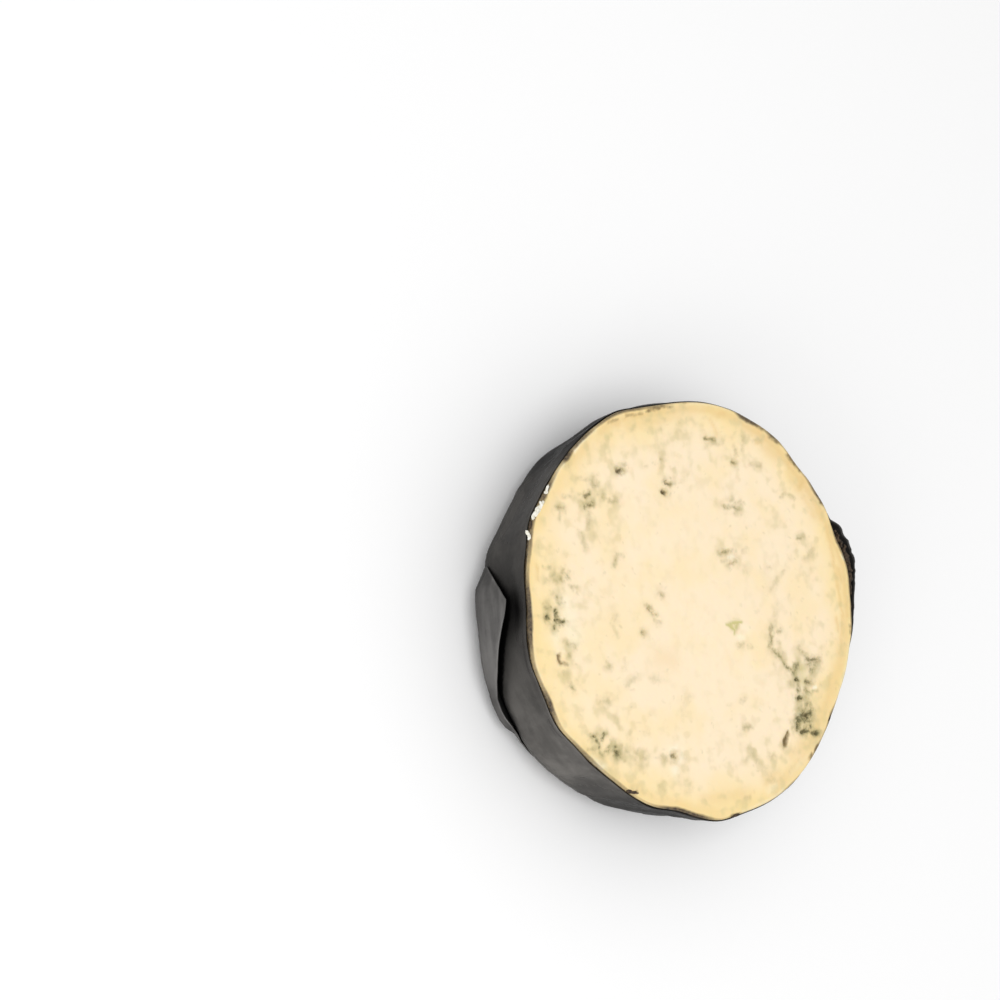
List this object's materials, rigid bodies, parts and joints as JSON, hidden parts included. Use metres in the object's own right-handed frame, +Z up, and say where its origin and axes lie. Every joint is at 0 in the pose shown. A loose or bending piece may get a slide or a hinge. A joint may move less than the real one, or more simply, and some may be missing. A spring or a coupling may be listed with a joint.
{
  "type": "cut slab of blue cheese in foil",
  "caption": "Round slab of blue cheese cut from the end of a drum, lying cut face up in its dark folded foil wrap.",
  "frame": {"origin": "under the middle of the slab's box, on the surface that it rests on", "axes": "+Z up, out of the cut face; -Y towards the side that carries the folded flap of foil; +X to its right"},
  "size_m": [0.1172, 0.1188, 0.0273],
  "materials": {
    "cheese_paste": "soft moist paste, satin, with blue-green mould in its openings",
    "dark_foil": "dark lacquered foil, satin, creased and folded"
  },
  "bodies": {
    "root": {"cheese": "cheese_paste", "foil_wrap": "dark_foil"}
  },
  "joints": []
}
